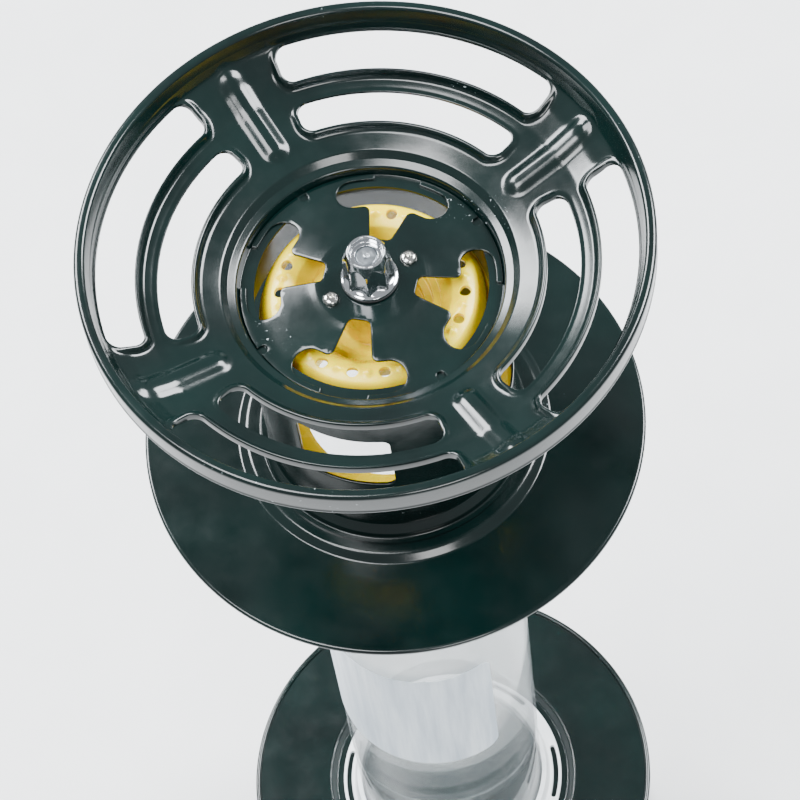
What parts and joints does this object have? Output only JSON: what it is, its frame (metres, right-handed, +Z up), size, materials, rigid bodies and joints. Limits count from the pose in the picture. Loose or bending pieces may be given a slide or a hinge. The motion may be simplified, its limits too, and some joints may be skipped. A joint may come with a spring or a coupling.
{
  "type": "cover reel",
  "caption": "Twin-spool reel on a clear tube: slotted dished outer flanges, solid inner flanges, windowed drums and stub axles with fluted nuts.",
  "frame": {"origin": "centre of the lower rim's resting circle, on the surface the reel stands on", "axes": "+Z up along the reel's axis, from the lower spool to the upper one; +X towards the right of the upper flange as it is looked down on"},
  "size_m": [0.3, 0.3, 0.936],
  "materials": {
    "green_enamel": "gloss powder coat, very dark green",
    "yellow_plastic": "gloss moulded",
    "chrome_plate": "bright plated",
    "bright_screw": "bright plated",
    "shaft_steel": "dull turned",
    "bearing_steel": "ground",
    "black_rubber": "moulded",
    "white_plastic": "moulded",
    "clear_tube": "clear extruded plastic",
    "blank_label": "blank label stock"
  },
  "bodies": {
    "reel": {"clear_tube": "clear_tube", "tube_label": "blank_label", "upper_tube_socket": "yellow_plastic", "upper_slotted_flange": "green_enamel", "upper_centre_plate": "green_enamel", "upper_plate_screws": "bright_screw", "upper_drum": "green_enamel", "upper_inner_flange": "green_enamel", "upper_hub": "yellow_plastic", "upper_bearing_balls": "bearing_steel", "upper_bearing_outer_races": "bearing_steel", "upper_tube_collar": "white_plastic", "lower_slotted_flange": "green_enamel", "lower_centre_plate": "green_enamel", "lower_plate_screws": "bright_screw", "lower_drum": "green_enamel", "lower_inner_flange": "green_enamel", "lower_hub": "yellow_plastic", "lower_bearing_balls": "bearing_steel", "lower_bearing_outer_races": "bearing_steel", "lower_tube_collar": "white_plastic"},
    "upper_stub": {"upper_stub_axle": "shaft_steel", "upper_retaining_ring": "shaft_steel", "upper_nut": "chrome_plate", "upper_washer": "black_rubber", "upper_bearing_inner_races": "bearing_steel"},
    "lower_stub": {"lower_stub_axle": "shaft_steel", "lower_retaining_ring": "shaft_steel", "lower_nut": "chrome_plate", "lower_washer": "black_rubber", "lower_bearing_inner_races": "bearing_steel"}
  },
  "joints": [
    {"name": "upper_axle_spin", "type": "hinge", "parent": "reel", "child": "upper_stub", "pos_m": [0, 0, 0.866], "axis": [0, 0, 1], "continuous": true},
    {"name": "lower_axle_spin", "type": "hinge", "parent": "reel", "child": "lower_stub", "pos_m": [0, 0, 0.07], "axis": [0, 0, -1], "continuous": true}
  ]
}
